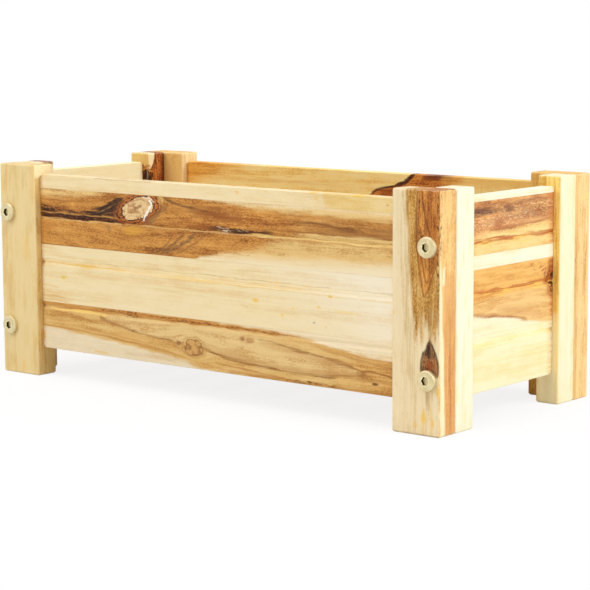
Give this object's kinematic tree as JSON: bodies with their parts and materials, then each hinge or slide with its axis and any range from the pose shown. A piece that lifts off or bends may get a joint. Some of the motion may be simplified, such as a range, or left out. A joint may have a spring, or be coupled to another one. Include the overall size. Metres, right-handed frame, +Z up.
{
  "type": "wooden crate planter",
  "caption": "Rectangular wooden planter trough: grooved edge-glued panels dowelled between corner posts, bolted at the corners, with a slatted floor that drains.",
  "frame": {"origin": "on the ground under the middle of the planter", "axes": "+X along the long side towards the right end, +Y towards the back, +Z up"},
  "size_m": [0.44, 0.202, 0.172],
  "materials": {
    "post_wood": "smooth oiled hardwood",
    "pale_sapwood": "smooth oiled sapwood",
    "brown_heartwood": "smooth oiled heartwood",
    "golden_wood": "smooth oiled hardwood",
    "floor_wood": "planed hardwood",
    "dowel_wood": "plain turned wood",
    "bolt_zinc": "satin pale yellow zinc plate",
    "insert_zinc": "zinc plate",
    "screw_steel": "pale yellow zinc plate"
  },
  "bodies": {
    "root": {"front_left_side_post": "post_wood", "front_left_end_post": "post_wood", "front_right_side_post": "post_wood", "front_right_end_post": "post_wood", "back_left_side_post": "post_wood", "back_left_end_post": "post_wood", "back_right_side_post": "post_wood", "back_right_end_post": "post_wood", "front_panel_strip_1": "pale_sapwood", "front_panel_strip_2": "brown_heartwood", "front_panel_strip_3": "pale_sapwood", "front_panel_strip_4": "golden_wood", "front_panel_dowels": "dowel_wood", "back_panel_strip_1": "golden_wood", "back_panel_strip_2": "pale_sapwood", "back_panel_strip_3": "brown_heartwood", "back_panel_strip_4": "golden_wood", "back_panel_dowels": "dowel_wood", "right_panel_strip_1": "pale_sapwood", "right_panel_strip_2": "brown_heartwood", "right_panel_strip_3": "pale_sapwood", "right_panel_strip_4": "golden_wood", "right_panel_strip_5": "pale_sapwood", "right_panel_dowels": "dowel_wood", "left_panel_strip_1": "pale_sapwood", "left_panel_strip_2": "golden_wood", "left_panel_strip_3": "brown_heartwood", "left_panel_strip_4": "pale_sapwood", "left_panel_dowels": "dowel_wood", "front_bolts": "bolt_zinc", "front_inserts": "insert_zinc", "front_cleat": "floor_wood", "front_cleat_screws": "screw_steel", "back_bolts": "bolt_zinc", "back_inserts": "insert_zinc", "back_cleat": "floor_wood", "back_cleat_screws": "screw_steel", "floor_slat_1": "floor_wood", "floor_slat_2": "floor_wood", "floor_slat_3": "floor_wood", "floor_slat_4": "floor_wood", "floor_slat_5": "floor_wood", "floor_slat_6": "floor_wood", "floor_slat_7": "floor_wood", "floor_slat_8": "floor_wood", "slat_screws": "screw_steel"}
  },
  "joints": []
}
